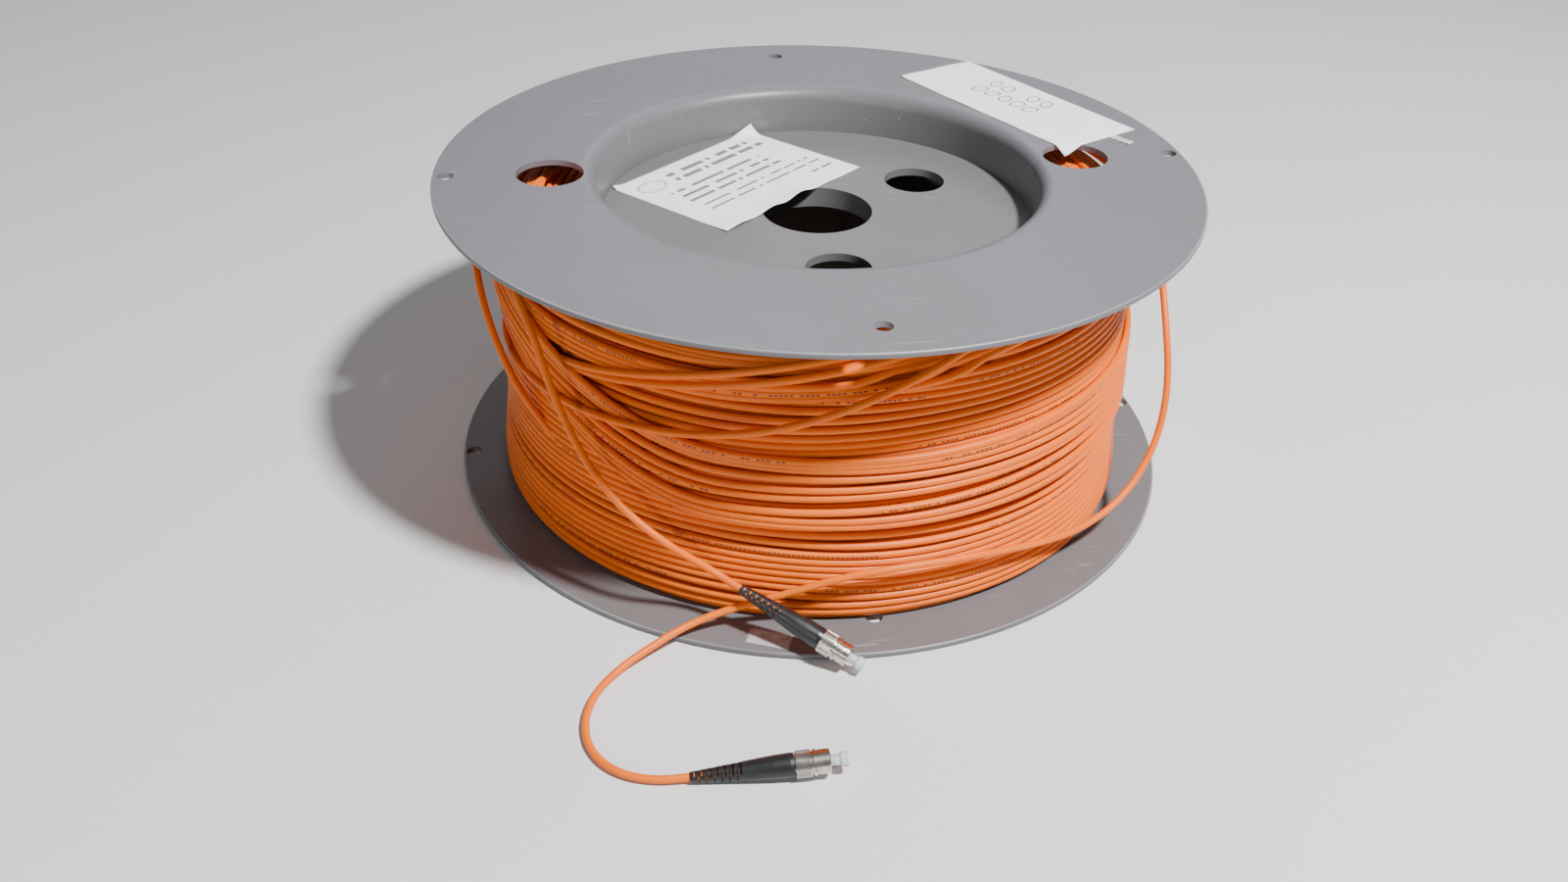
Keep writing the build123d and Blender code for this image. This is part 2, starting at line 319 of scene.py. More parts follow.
def jacket_skin():
    """Colour, roughness and bump of the cable jacket, from its length and the way round it."""
    graph, source, target = new_group(
        "Jacket skin",
        {"Colour": (0.8, 0.2, 0.02), "Marks": (0.05, 0.03, 0.02), "Along": 0.0, "Round": 0.0},
        {"Colour": "Color", "Roughness": "Float", "Height": "Float"},
    )
    place = graph.place()
    along = source["Along"]
    slow = graph.noise(graph.vector(graph.times(along, 1.9)), 1.0, 3, 0.6)
    grime = graph.noise(place, 60.0, 4, 0.6)
    hue = graph.add("HueSaturation", Color=source["Colour"])
    graph.feed(hue.inputs["Value"], graph.spread(slow, 0.72, 1.22))
    graph.feed(hue.inputs["Hue"], graph.spread(grime, 0.493, 0.507))
    darker_tone = graph.times(graph.step(grime, 0.55, 0.85), 0.3)
    dirty = graph.mix(darker_tone, hue.outputs[0], (0.34, 0.06, 0.004))
    in_row = graph.below(graph.math("FRACT", graph.times(along, MARK_ROWS)), MARK_SHARE)
    cells = graph.times(along, MARK_CELLS)
    dash = graph.above(graph.chance(graph.math("FLOOR", cells)), 0.22)
    beat = graph.below(graph.math("FRACT", cells), 0.72)
    band = graph.near(source["Round"], 0.5, 0.05)
    mark = graph.times(graph.times(in_row, dash), graph.times(beat, band))
    graph.feed(target["Colour"], graph.mix(graph.times(mark, 0.8), dirty, source["Marks"]))
    graph.feed(target["Roughness"], graph.spread(grime, 0.34, 0.56))
    graph.feed(target["Height"], graph.noise(place, 900.0, 2, 0.5))


def all_of(graph, tests):
    """The product of several masks."""
    mask = tests[0]
    for test in tests[1:]:
        mask = graph.times(mask, test)
    return mask


def printed_rows():
    """Plain rules that stand for lines of print: the ink mask, in millimetres across and up a sheet."""
    block = {"Left": 6.0, "Low": 6.0, "High": 30.0, "Pitch": 5.0, "Weight": 0.4, "Length": 60.0}
    graph, source, target = new_group(
        "Printed rows", {"Across": 0.0, "Up": 0.0, **block}, {"Ink": "Float"}
    )
    up = graph.math("DIVIDE", graph.minus(source["Up"], source["Low"]), source["Pitch"])
    row = graph.math("FLOOR", up)
    thick = graph.below(graph.math("FRACT", up), source["Weight"])
    word = graph.math("FLOOR", graph.times(source["Across"], 0.42))
    key = graph.math("ADD", graph.times(row, 17.3), word)
    gap = graph.above(graph.chance(key), 0.22)
    end = graph.scaled(graph.chance(graph.math("ADD", row, 0.37)), 0.45, 0.55)
    end = graph.math("ADD", source["Left"], graph.times(source["Length"], end))
    tests = (
        thick,
        gap,
        graph.above(source["Across"], source["Left"]),
        graph.below(source["Across"], end),
        graph.above(source["Up"], source["Low"]),
        graph.below(source["Up"], source["High"]),
    )
    graph.feed(target["Ink"], all_of(graph, tests))


def pen_loops():
    """A row of plain pen loops on a sheet, in millimetres; some of the loops are left out."""
    row = {"Middle": 20.0, "Start": 20.0, "End": 70.0, "Pitch": 8.5, "Seed": 1.0}
    graph, source, target = new_group("Pen loops", {"Across": 0.0, "Up": 0.0, **row}, {"Ink": "Float"})
    share = graph.math("DIVIDE", graph.minus(source["Across"], source["Start"]), source["Pitch"])
    cell = graph.math("ADD", graph.math("FLOOR", share), source["Seed"])
    chance = graph.chance(cell)
    along = graph.times(graph.minus(graph.math("FRACT", share), 0.5), 2.7)
    rise = graph.math("DIVIDE", graph.minus(source["Up"], source["Middle"]), 3.9)
    rise = graph.math("ADD", rise, graph.times(along, graph.minus(chance, 0.5)))
    tests = (
        graph.near(graph.length(graph.vector(along, rise)), 0.93, 0.13),
        graph.above(chance, 0.2),
        graph.above(source["Across"], source["Start"]),
        graph.below(source["Across"], source["End"]),
    )
    graph.feed(target["Ink"], all_of(graph, tests))


# ---- materials ---------------------------------------------------------------
class Finish(Graph):
    """The nodes of one material with a Principled shader, its plain values set on its own sockets."""

    def __init__(self, name, **values):
        self.material = bpy.data.materials.new(name)
        self.material.use_nodes = True
        super().__init__(self.material.node_tree)
        self.shader = self.tree.nodes["Principled BSDF"]
        self.shade(**values)

    def shade(self, **values):
        for label, value in values.items():
            self.feed(self.shader.inputs[label.replace("_", " ")], value)

    def bump(self, height, strength, distance):
        node = self.add("Bump", Height=height, Strength=strength, Distance=distance)
        self.shade(Normal=node.outputs[0])


def reel_plastic(settings, name, warmth):
    """Grey moulded plastic: mottled and scuffed, with a painted highlight along its rims, painted shade on
    the outer side of the flange, and a darker, warmer grey in the dish and over the foot.
    """
    graph = Finish(name, Specular_IOR_Level=0.42)
    place = use_group(graph, "Reel places")
    grain = use_group(graph, "Moulded grain", Grain=1500.0, Cloud=13.0)
    marks = use_group(graph, "Handling marks", Size=1.6, Amount=0.4)
    # The dish, and the whole foot by its warmth, are painted the darker, warmer grey; the mottle varies it.
    wall = DISH_FLOOR_RADIUS + 0.3 * MM
    in_dish = graph.minus(1.0, graph.step(place["Radius"], wall, wall + 5 * MM))
    tone_share = graph.scaled(grain["Mottle"], 0.22, graph.scaled(in_dish, 0.45, warmth))
    colour = graph.mix(tone_share, settings.plastic, settings.darker_tone)
    # Painted highlight: a pale band is painted just inside the flange's outer edge, where its rounded rim
    # catches the light.
    corner = graph.step(place["Radius"], REEL_RADIUS - 1.0 * MM, REEL_RADIUS - 0.55 * MM)
    side = graph.step(place["Radius"], REEL_RADIUS - 0.3 * MM, REEL_RADIUS - 0.1 * MM)
    rim_highlight_and_scratches = graph.times(corner, graph.scaled(grain["Mottle"], 0.3, 0.1))
    colour = graph.mix(rim_highlight_and_scratches, colour, settings.rim_highlight_and_scratches)
    # Painted shade: the outer side of the flange is painted dark.
    colour = graph.mix(graph.times(side, 0.7), colour, settings.side)
    colour = graph.mix(graph.times(marks["Scratches"], 0.5), colour, settings.rim_highlight_and_scratches)
    colour = graph.mix(marks["Specks"], colour, (0.55, 0.54, 0.52))
    graph.shade(Base_Color=colour)
    rough = graph.scaled(grain["Mottle"], 0.12, 0.36)
    rough = graph.scaled(marks["Scratches"], 0.2, rough)
    graph.shade(Roughness=rough)
    height = graph.scaled(marks["Scratches"], -0.8, grain["Height"])
    graph.bump(height, 0.25, 0.05 * MM)
    return graph.material


def barrel_board(settings):
    """Rolled fibreboard: brown-grey with fibres along the tube; its grey is painted paler than the board,
    as painted light inside the closed reel.
    """
    graph = Finish("barrel board")
    place = graph.place()
    fibres = graph.noise(graph.add("Mapping", Vector=place, Scale=(900, 900, 40)).outputs[0], 1.0, 3, 0.6)
    cloud = graph.noise(place, 25.0, 3, 0.6)
    tone = graph.scaled(fibres, 0.5, graph.times(cloud, 0.5))
    # Painted light: the board's grey is set paler to stand in for light inside the closed reel.
    graph.shade(Base_Color=graph.mix(tone, settings.board, (0.22, 0.18, 0.16)))
    graph.shade(Roughness=graph.scaled(fibres, 0.2, 0.65))
    graph.bump(fibres, 0.4, 0.1 * MM)
    return graph.material


def jacket(settings, name, length=1.0):
    """Orange jacket with a soft sheen; length turns the share along a curve into metres."""
    graph = Finish(name, Specular_IOR_Level=0.3)
    ways = graph.add("SeparateXYZ", Vector=graph.add("TexCoord").outputs["UV"]).outputs
    skin = use_group(
        graph,
        "Jacket skin",
        Colour=settings.jacket,
        Marks=settings.print_colour,
        Along=graph.times(ways[0], length),
        Round=ways[1],
    )
    graph.shade(Base_Color=skin["Colour"])
    graph.shade(Roughness=skin["Roughness"])
    graph.bump(skin["Height"], 0.12, 0.05 * MM)
    return graph.material


def painted_shade_winding():
    """The lower turns that show in the gaps, painted a dark orange as painted shade."""
    graph = Finish("painted shade winding")
    place = graph.place()
    turns = graph.noise(graph.add("Mapping", Vector=place, Scale=(4, 4, 330)).outputs[0], 1.0, 2, 0.5)
    graph.shade(Base_Color=graph.mix(turns, (0.16, 0.022, 0.0), (0.06, 0.008, 0.0)))
    graph.shade(Roughness=graph.scaled(turns, 0.2, 0.5))
    return graph.material


SHEET_UNIT = 100.0            # millimetres in one unit of a sheet's map
RULE_BLOCKS = (
    dict(Left=26.0, Low=51.0, High=62.5, Pitch=5.8, Weight=0.5, Length=60.0),
    dict(Left=13.0, Low=31.0, High=47.5, Pitch=5.6, Weight=0.36, Length=62.0),
    dict(Left=13.0, Low=19.5, High=29.5, Pitch=5.0, Weight=0.26, Length=76.0),
    dict(Left=74.0, Low=12.0, High=16.0, Pitch=4.0, Weight=0.4, Length=14.0),
)
PEN_ROWS = (
    dict(Middle=11.5, Start=32.0, End=83.0, Seed=1.0),
    dict(Middle=22.5, Start=40.0, End=82.6, Seed=23.0),
)
OVAL_MIDDLE = (13.0, 55.0)
OVAL_REACH = (8.0, 5.2)


def paper(settings, name, kind):
    """White paper with faint fibres; kind is rules for the printed label and pen for the tag."""
    graph = Finish(name, Subsurface_Weight=0.05, Subsurface_Scale=0.5 * MM)
    places = graph.add("TexCoord").outputs
    sheet = graph.add("SeparateXYZ", Vector=places["UV"]).outputs
    across = graph.times(sheet[0], SHEET_UNIT)
    up = graph.times(sheet[1], SHEET_UNIT)
    fibres = graph.noise(places["Object"], 700.0, 4, 0.65)
    smudge = graph.noise(places["Object"], 30.0, 3, 0.6)
    colour = graph.mix(graph.times(fibres, 0.12), settings.paper, (0.62, 0.61, 0.60))
    colour = graph.mix(graph.times(graph.step(smudge, 0.5, 0.8), 0.16), colour, (0.55, 0.52, 0.50))
    if kind == "rules":
        for block in RULE_BLOCKS:
            ink = use_group(graph, "Printed rows", Across=across, Up=up, **block)["Ink"]
            colour = graph.mix(graph.times(ink, 0.85), colour, settings.ink)
        oval = graph.vector(
            graph.math("DIVIDE", graph.minus(across, OVAL_MIDDLE[0]), OVAL_REACH[0]),
            graph.math("DIVIDE", graph.minus(up, OVAL_MIDDLE[1]), OVAL_REACH[1]),
        )
        oval = graph.near(graph.length(oval), 0.93, 0.06)
        colour = graph.mix(graph.times(oval, 0.7), colour, settings.ink)
    if kind == "pen":
        for row in PEN_ROWS:
            ink = use_group(graph, "Pen loops", Across=across, Up=up, **row)["Ink"]
            colour = graph.mix(graph.times(ink, 0.8), colour, settings.ink)
    graph.shade(Base_Color=colour)
    graph.shade(Roughness=graph.scaled(fibres, 0.15, 0.62))
    graph.bump(fibres, 0.2, 0.05 * MM)
    return graph.material


def clear_film(name, alpha, tint):
    """Thin clear film, cloudier where it is creased."""
    graph = Finish(name, Specular_IOR_Level=0.6)
    place = graph.place()
    crease = graph.noise(place, 260.0, 3, 0.6)
    graph.shade(Base_Color=graph.mix(crease, tint, (0.9, 0.88, 0.86)))
    graph.shade(Alpha=graph.spread(crease, alpha - 0.2, alpha + 0.2))
    graph.shade(Roughness=graph.scaled(crease, 0.3, 0.15))
    graph.bump(crease, 0.5, 0.2 * MM)
    return graph.material


def boot_rubber(settings):
    """Satin black rubber with a little dust."""
    graph = Finish("boot rubber", Specular_IOR_Level=0.45)
    grain = use_group(graph, "Moulded grain", Grain=2600.0, Cloud=90.0)
    marks = use_group(graph, "Handling marks", Size=3.0, Amount=0.5)
    dust = graph.scaled(marks["Scratches"], 0.3, graph.times(marks["Specks"], 0.5))
    graph.shade(Base_Color=graph.mix(dust, settings.rubber, (0.18, 0.18, 0.19)))
    graph.shade(Roughness=graph.scaled(grain["Mottle"], 0.15, 0.34))
    graph.bump(grain["Height"], 0.2, 0.04 * MM)
    return graph.material


def nickel_plate(settings, name="nickel plate", tone=1.0):
    """Bright plating with fine turning marks and a few dull patches."""
    graph = Finish(name, Metallic=1.0)
    grain = use_group(graph, "Moulded grain", Grain=3000.0, Cloud=160.0)
    marks = use_group(graph, "Handling marks", Size=4.0, Amount=0.8)
    bright = [channel * tone for channel in settings.nickel]
    dull = [channel * 0.62 * tone for channel in settings.nickel]
    graph.shade(Base_Color=graph.mix(grain["Mottle"], bright, dull))
    rough = graph.scaled(grain["Mottle"], 0.16, 0.2)
    graph.shade(Roughness=graph.scaled(marks["Scratches"], 0.25, rough))
    graph.bump(grain["Height"], 0.15, 0.02 * MM)
    return graph.material


def cap_plastic(settings):
    """Milky soft plastic that lets some light through."""
    graph = Finish(
        "cap plastic",
        Transmission_Weight=0.45,
        IOR=1.45,
        Subsurface_Weight=0.2,
        Subsurface_Scale=1.5 * MM,
    )
    grain = use_group(graph, "Moulded grain", Grain=1800.0, Cloud=150.0)
    graph.shade(Base_Color=graph.mix(grain["Mottle"], settings.cap, (0.66, 0.70, 0.74)))
    graph.shade(Roughness=graph.scaled(grain["Mottle"], 0.1, 0.3))
    graph.bump(grain["Height"], 0.15, 0.04 * MM)
    return graph.material


def ceramic():
    """Polished white ceramic."""
    graph = Finish("ferrule ceramic", Coat_Weight=0.4)
    grain = use_group(graph, "Moulded grain", Grain=2500.0, Cloud=300.0)
    graph.shade(Base_Color=graph.mix(grain["Mottle"], (0.86, 0.86, 0.82), (0.78, 0.78, 0.74)))
    graph.shade(Roughness=graph.scaled(grain["Mottle"], 0.05, 0.12))
    return graph.material


def paint(nodes, material):
    """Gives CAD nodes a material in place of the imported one."""
    for name in nodes:
        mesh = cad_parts[name].data
        mesh.materials.clear()
        mesh.materials.append(material)


# ---- meshes ------------------------------------------------------------------
def mesh_object(name, points, faces, ways, material):
    """A smooth mesh; ways are the UV pairs of its face corners in order."""
    mesh = bpy.data.meshes.new(name)
    mesh.from_pydata(np.asarray(points).tolist(), [], faces)
    mesh.update()
    if ways is not None:
        layer = mesh.uv_layers.new(name="ways")
        layer.data.foreach_set("uv", np.asarray(ways, np.float32).ravel())
    mesh.shade_smooth()
    mesh.materials.append(material)
    piece = bpy.data.objects.new(name, mesh)
    bpy.context.scene.collection.objects.link(piece)
    return piece


def tube_along(path, radius, sides, first):
    """Rings of points round a path that runs about the reel's axis, and the faces between them."""
    tangent = np.gradient(path, axis=0)
    tangent /= np.linalg.norm(tangent, axis=1)[:, None]
    outward = path * (1, 1, 0)
    outward /= np.linalg.norm(outward, axis=1)[:, None]
    outward -= (outward * tangent).sum(1)[:, None] * tangent
    outward /= np.linalg.norm(outward, axis=1)[:, None]
    across = np.cross(tangent, outward)
    angle = 2 * np.pi * np.arange(sides) / sides
    ring = np.cos(angle)[None, :, None] * -outward[:, None] + np.sin(angle)[None, :, None] * across[:, None]
    points = (path[:, None] + radius * ring).reshape(-1, 3)
    spans = len(path) - 1
    here = np.arange(spans)[:, None] * sides
    there = here + sides
    side = np.arange(sides)[None]
    after = (side + 1) % sides
    faces = np.stack([here + side, here + after, there + after, there + side], -1).reshape(-1, 4) + first
    gaps = np.linalg.norm(np.diff(path, axis=0), axis=1)
    length = np.concatenate([[0], np.cumsum(gaps)])
    start = np.broadcast_to(length[:-1, None], (spans, sides))
    end = np.broadcast_to(length[1:, None], (spans, sides))
    low = np.broadcast_to(side / sides, (spans, sides))
    high = low + 1 / sides
    ways = np.stack([start, low, start, high, end, high, end, low], -1).reshape(-1, 2)
    return points, faces, ways


def tubes(name, paths, radius, sides, material):
    """One mesh of several tubes, with their ends capped."""
    points, faces, ways, first = [], [], [], 0
    caps = []
    for path in paths:
        some, quads, corners = tube_along(path, radius, sides, first)
        points.append(some)
        faces.append(quads)
        ways.append(corners)
        caps.append(list(range(first, first + sides))[::-1])
        caps.append(list(range(first + len(some) - sides, first + len(some))))
        first += len(some)
    all_ways = np.concatenate(ways + [np.zeros((len(caps) * sides, 2))])
    all_faces = np.concatenate(faces).tolist() + caps
    return mesh_object(name, np.concatenate(points), all_faces, all_ways, material)


# ---- winding -----------------------------------------------------------------
SAMPLES = 120                 # points in one turn
SEAM_ANGLE = math.radians(90)  # where one turn hands over to the next, at the back
LAYER_RISE = 2.75 * MM        # how far the outer layer stands above the one it lies on
CORE_DEPTH = 1.6 * MM         # how far the closed core stays under the inner layer's middle
STIFFNESS = 4                 # points over which a turn bridges a bump
PITCH = 1.005                 # diameters from one turn to the next, laid side by side
TUCK_DEPTH = 3 * MM           # how far a strand's end goes under the turns beside it
TUCK_POINTS = 10              # over so many points
ROW_TURNS = 5                 # turns in a row on the shoulder
SHOULDER_TURNS = 4            # slack turns that stand on the shoulder at the right

ANGLES = SEAM_ANGLE + 2 * np.pi * np.arange(SAMPLES) / SAMPLES


class PackSection:
    """The section of the wound cable, as a path from the barrel's foot, out, up the side and back in."""

    def __init__(self, cable):
        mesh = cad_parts["cable_pack"].data
        points = np.array([vertex.co for vertex in mesh.vertices])
        reach = np.hypot(points[:, 0], points[:, 1])
        corners = sorted({(round(z, 5), round(r, 5)) for r, z in zip(reach, points[:, 2])})
        low, high = corners[0][0], corners[-1][0]
        side = [(r, z) for z, r in corners if r > BARREL_RADIUS + 10 * MM]
        outline = [(BARREL_RADIUS, low)] + side + [(BARREL_RADIUS, high)]
        outline = np.array(outline)
        gaps = np.linalg.norm(np.diff(outline, axis=0), axis=1)
        keep = np.concatenate([[True], gaps > 0.1 * MM])
        outline = outline[keep]
        self.line = self.rounded(outline, 4 * MM)
        inset = cable / 2 + LAYER_RISE
        normal = self.normals(self.line)
        self.line = self.line - inset * normal
        inside = self.line[:, 0] > BARREL_RADIUS + cable / 2
        self.line = self.line[inside]
        self.normal = self.normals(self.line)
        steps = np.linalg.norm(np.diff(self.line, axis=0), axis=1)
        self.along = np.concatenate([[0], np.cumsum(steps)])
        self.length = self.along[-1]
        foot = np.argmax(self.line[:, 0])
        self.foot = self.along[foot]
        on_top = self.line[:, 1] > self.line[:, 1].max() - 0.3 * MM
        self.shoulder = self.along[np.argmax(on_top)]

    @staticmethod
    def rounded(outline, reach):
        """The outline in short even steps, its corners smoothed over the given reach."""
        step = 0.5 * MM
        gaps = np.linalg.norm(np.diff(outline, axis=0), axis=1)
        along = np.concatenate([[0], np.cumsum(gaps)])
        even = np.arange(0, along[-1], step)
        line = np.stack([np.interp(even, along, outline[:, k]) for k in (0, 1)], 1)
        width = int(reach / step)
        kernel = np.ones(width) / width
        padded = np.pad(line, ((width // 2, width - 1 - width // 2), (0, 0)), mode="edge")
        return np.stack([np.convolve(padded[:, k], kernel, "valid") for k in (0, 1)], 1)

    @staticmethod
    def normals(line):
        tangent = np.gradient(line, axis=0)
        tangent /= np.linalg.norm(tangent, axis=1)[:, None]
        return np.stack([tangent[:, 1], -tangent[:, 0]], 1)

    def place(self, along, lift):
        """(radius, height) of points at a distance along the section and a lift off it."""
        out = []
        for k in (0, 1):
            at = np.interp(along, self.along, self.line[:, k])
            out.append(at + lift * np.interp(along, self.along, self.normal[:, k]))
        return out[0], out[1]

    def at_height(self, height):
        """Distance along the section of a height on its side."""
        side = self.along >= self.foot
        return np.interp(height, self.line[side, 1], self.along[side])


def smooth_noise(rng, turns, waves, softness):
    """Random numbers for each turn and angle that change slowly from turn to turn and round the reel."""
    total = np.zeros((turns, SAMPLES))
    for wave in range(1, waves + 1):
        for part in (np.cos, np.sin):
            draws = rng.normal(size=turns + 2 * softness)
            weight = np.convolve(draws, np.ones(softness) / softness, "valid")
            total += weight[:turns, None] * part(wave * ANGLES)[None] / wave
    return total / (np.abs(total).max() + 1e-9)


def helix(rings):
    """Rings of distances along the section, made into one strand that goes from ring to ring."""
    share = np.arange(SAMPLES) / SAMPLES
    following = np.concatenate([rings[1:], rings[-1:]])
    return rings * (1 - share) + following * share


def drawn_tight(turn, laid, cable):
    """How far one turn lies off the section when it is drawn onto the turns already laid."""
    need = np.zeros(SAMPLES)
    for other, lift in laid:
        gap = np.abs(turn - other)
        touch = lift + np.sqrt(np.maximum(cable**2 - gap**2, 0))
        need = np.where(gap < cable, np.maximum(need, touch), need)
    wide = np.max([np.roll(need, shift) for shift in range(-STIFFNESS, STIFFNESS + 1)], axis=0)
    return np.mean([np.roll(wide, shift) for shift in range(-STIFFNESS, STIFFNESS + 1)], axis=0)


def ease(value):
    """0 below 0, 1 above 1, smooth between."""
    value = np.clip(value, 0, 1)
    return value * value * (3 - 2 * value)


def even_rings(rng, length, cable, slack):
    """Distances along the section for a layer of turns laid side by side, with uneven gaps between them."""
    turns = int(length * (1 - slack) / cable)
    gaps = np.clip(smooth_noise(rng, turns, 3, 3) + 0.12 * rng.normal(size=(turns, 1)), 0, None) ** 1.5
    spare = length - turns * cable
    gaps *= spare / gaps.sum(0)[None]
    return np.cumsum(cable + gaps, axis=0) - cable


def swept_rings(section, count, cable):
    """Turns that sit high at the left, fall across the front over the outer layer and rise again behind."""
    degrees = np.degrees(ANGLES) % 360
    fall = ease((degrees - 185) / 62)
    rise = ease(((degrees - 20) % 360) / 130)
    high = np.where(degrees > 180, 1 - fall, rise)
    high = np.where(degrees < 20, 0, high)
    rings = []
    for index in range(count):
        front = (44 + 4.1 * index + 2.0 * math.sin(2.3 * index)) * MM
        left = (84 + 3.1 * index) * MM
        height = front + (left - front) * high + 1.2 * MM * np.sin(2 * ANGLES + index)
        rings.append(section.at_height(height))
    return np.array(rings)


def crown_rings(section, count, cable):
    """Rows of turns on the shoulder at the right; the first two come down onto the side at the left."""
    degrees = np.degrees(ANGLES) % 360
    top = np.where(degrees > 180, ease((degrees - 240) / 95), 1 - ease((degrees - 50) / 90))
    rings = []
    for index in range(count):
        row, place = divmod(index, ROW_TURNS)
        right = section.shoulder + (1.1 * place + 0.4 * row - 2.6) * cable
        left = section.at_height((96 + 4.4 * place + 2.2 * row) * MM) if row < 2 else right
        rings.append(left + (right - left) * top)
    return np.array(rings)


def strand(section, rings, lifts):
    """The points of one long strand through all its turns, its two ends tucked in."""
    along = rings.ravel()
    lift = np.convolve(np.pad(lifts.ravel(), 2, mode="edge"), np.ones(5) / 5, "valid")
    sink = TUCK_DEPTH * np.linspace(1, 0, TUCK_POINTS) ** 2
    lift[:TUCK_POINTS] -= sink
    lift[-TUCK_POINTS:] -= sink[::-1]
    angles = SEAM_ANGLE + 2 * np.pi * np.arange(len(along)) / SAMPLES
    radius, height = section.place(along, lift)
    return np.stack([radius * np.cos(angles), radius * np.sin(angles), height], -1)


def wind(settings):
    """Lays the inner and outer layers, then the turns over them, each drawn onto those before it."""
    rng = np.random.default_rng(settings.seed)
    cable = settings.diameter
    section = PackSection(cable)
    laid = []
    strands = []
    inner = helix(even_rings(rng, section.length, cable * PITCH, 0.0))
    outer = helix(even_rings(rng, section.length, cable * PITCH, settings.slack)[::-1])
    crown = helix(crown_rings(section, settings.crown_turns, cable)) if settings.crown_turns else []
    swept = helix(swept_rings(section, settings.swept_turns, cable)) if settings.swept_turns else []
    for layer in (inner, outer, crown, swept):
        lifts = [drawn_tight(turn, laid, cable) for turn in layer]
        laid += list(zip(layer, lifts))
        if len(layer):
            strands.append(strand(section, np.array(layer), np.array(lifts)))
    return section, strands


def winding_core(section, material):
    """The closed body under the inner layer, so that no gap shows through."""
    line = (section.line - CORE_DEPTH * section.normal)[::8]
    outline = np.concatenate([[(BARREL_RADIUS, line[0, 1])], line, [(BARREL_RADIUS, line[-1, 1])]])
    steps = 96
    angle = 2 * np.pi * np.arange(steps) / steps
    points = np.stack(
        [
            np.cos(angle)[:, None] * outline[None, :, 0],
            np.sin(angle)[:, None] * outline[None, :, 0],
            np.broadcast_to(outline[None, :, 1], (steps, len(outline))),
        ],
        -1,
    ).reshape(-1, 3)
    count = len(outline)
    faces = []
    for i in range(steps):
        for j in range(count):
            here = i * count
            after = (i + 1) % steps * count
            across = (j + 1) % count
            faces.append((here + j, after + j, after + across, here + across))
    return mesh_object("winding_core", points, faces, None, material)


LOOSE_LENGTH = 0.35           # metres of cable in one slack turn, near enough for its marks
LOOSE_TURNS = (  # angle in degrees, radius and height in mm of the slack turns across the front
    [
        (-196, 134.5, 70), (-180, 136.5, 71.5), (-164, 139.0, 73), (-148, 140.8, 75.5),
        (-134, 141.2, 78), (-120, 141.2, 81.5), (-106, 141.0, 88.5), (-94, 140.2, 99),
        (-84, 138.6, 109.5), (-74, 134.0, 117.5), (-60, 126.5, 121.3), (-44, 119.0, 121.5),
        (-28, 113.0, 120.0),
    ],
    [
        (-186, 133.0, 96), (-172, 135.5, 93), (-158, 137.3, 91), (-146, 138.0, 91.5),
        (-134, 138.2, 96.5), (-120, 137.8, 104.5), (-106, 136.0, 111.8), (-92, 132.5, 117.5),
        (-76, 126.5, 120.8), (-58, 120.0, 120.3),
    ],
    [
        (-172, 132.5, 86), (-156, 136.0, 87), (-140, 138.0, 91), (-124, 138.0, 98),
        (-108, 137.3, 106), (-94, 135.5, 112.5), (-80, 131.5, 117.8), (-64, 125.0, 120.6),
        (-46, 118.0, 120.0),
    ],
)


def shoulder_turn(index):
    """One slack turn on the shoulder, written as in LOOSE_TURNS; its ends come down into the winding."""
    points = []
    for degrees in range(-75, 94, 14):
        fall = ((degrees - 8) / 85) ** 2
        points.append((degrees, 122.4 + 2.7 * index - 7 * fall, 123.9 - 0.5 * index - 5.5 * fall))
    return points


# ---- leads -------------------------------------------------------------------
LEAD_POINTS = {
    "a": [
        (-101.5, 47.0, 119.0), (-116.0, 20.5, 124.0), (-126.5, -11.0, 125.0), (-129.5, -45.0, 125.2),
        (-127.0, -74.5, 123.5), (-120.3, -92.0, 112.3), (-115.0, -99.5, 92.0), (-106.5, -109.0, 70.5),
        (-94.5, -119.5, 52.8), (-77.3, -130.8, 40.3), (-59.5, -131.5, 26.2), (-47.9, -139.3, 21.5),
        (-25.05, -154.6, 12.3),
    ],
    "b": [
        (-112.0, -74.0, 46.0), (-126.5, -60.5, 60.0), (-136.0, -47.0, 77.0), (-142.5, -32.0, 95.0),
        (-145.5, -10.0, 109.5), (-144.5, 20.0, 118.5), (-134.0, 60.0, 122.0), (-108.5, 100.0, 123.0),
        (-68.0, 131.0, 122.0), (-18.0, 147.5, 121.0), (34.0, 144.5, 120.5), (82.0, 124.0, 119.0),
        (120.0, 88.5, 117.0), (143.0, 45.0, 114.5), (148.0, 3.0, 110.5), (143.0, -34.0, 103.0),
        (139.0, -60.5, 86.0), (139.5, -75.0, 61.0), (134.5, -84.0, 37.0), (118.5, -96.5, 19.8),
        (95.0, -110.0, 15.0), (70.5, -125.5, 22.0), (46.0, -136.5, 27.5), (18.0, -143.0, 30.0),
        (-8.5, -143.5, 27.3), (-32.2, -140.0, 17.2), (-53.2, -138.2, 10.6), (-69.5, -142.0, 7.2),
        (-83.0, -149.5, 4.6), (-95.5, -157.3, 1.9), (-105.0, -169.5, 1.6), (-109.0, -184.7, 1.6),
        (-106.3, -198.5, 1.6), (-98.3, -208.2, 1.6), (-86.5, -213.2, 1.6), (-73.3, -213.8, 2.1),
        (-44.4, -214.6, 4.4),
    ],
}
LEAD_LENGTH = {"a": 0.309, "b": 1.062}
PLUG_NODES = (
    "boot",
    "crimp_sleeve",
    "rear_body",
    "front_body",
    "ferrule_spring",
    "ferrule_holder",
    "ferrule",
    "retaining_ring",
    "coupling_nut",
    "dust_cap",
)


